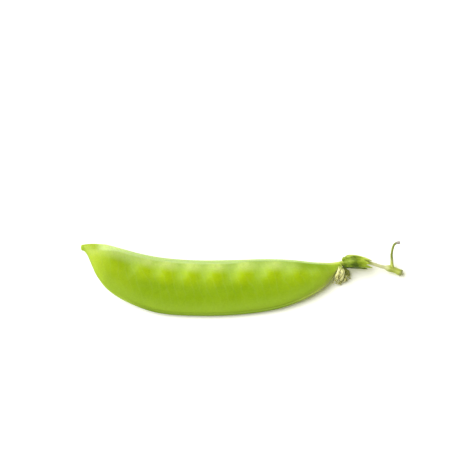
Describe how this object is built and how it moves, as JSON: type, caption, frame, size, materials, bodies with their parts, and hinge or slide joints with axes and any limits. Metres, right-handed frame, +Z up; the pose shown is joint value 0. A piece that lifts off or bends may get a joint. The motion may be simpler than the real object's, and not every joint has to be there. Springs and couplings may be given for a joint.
{
  "type": "snow pea pod",
  "caption": "Flat green snow pea pod lying on its side, small seeds showing as bulges, with calyx, withered stamens and a bit of stalk.",
  "frame": {"origin": "centre of the object's footprint, on the surface that the pod lies on", "axes": "+X along the pod from its beak to the cut end of its stalk, +Y across the pod towards the straight suture that bears the seeds, +Z up through the pod's thickness"},
  "size_m": [0.1076, 0.025, 0.0075],
  "materials": {
    "pod_skin": "satin",
    "sepal": "matte",
    "stem": "satin",
    "dry_paper": "matte"
  },
  "bodies": {
    "root": {"pod": "pod_skin", "calyx": "sepal", "stalk": "stem", "withered_stamens": "dry_paper"}
  },
  "joints": []
}
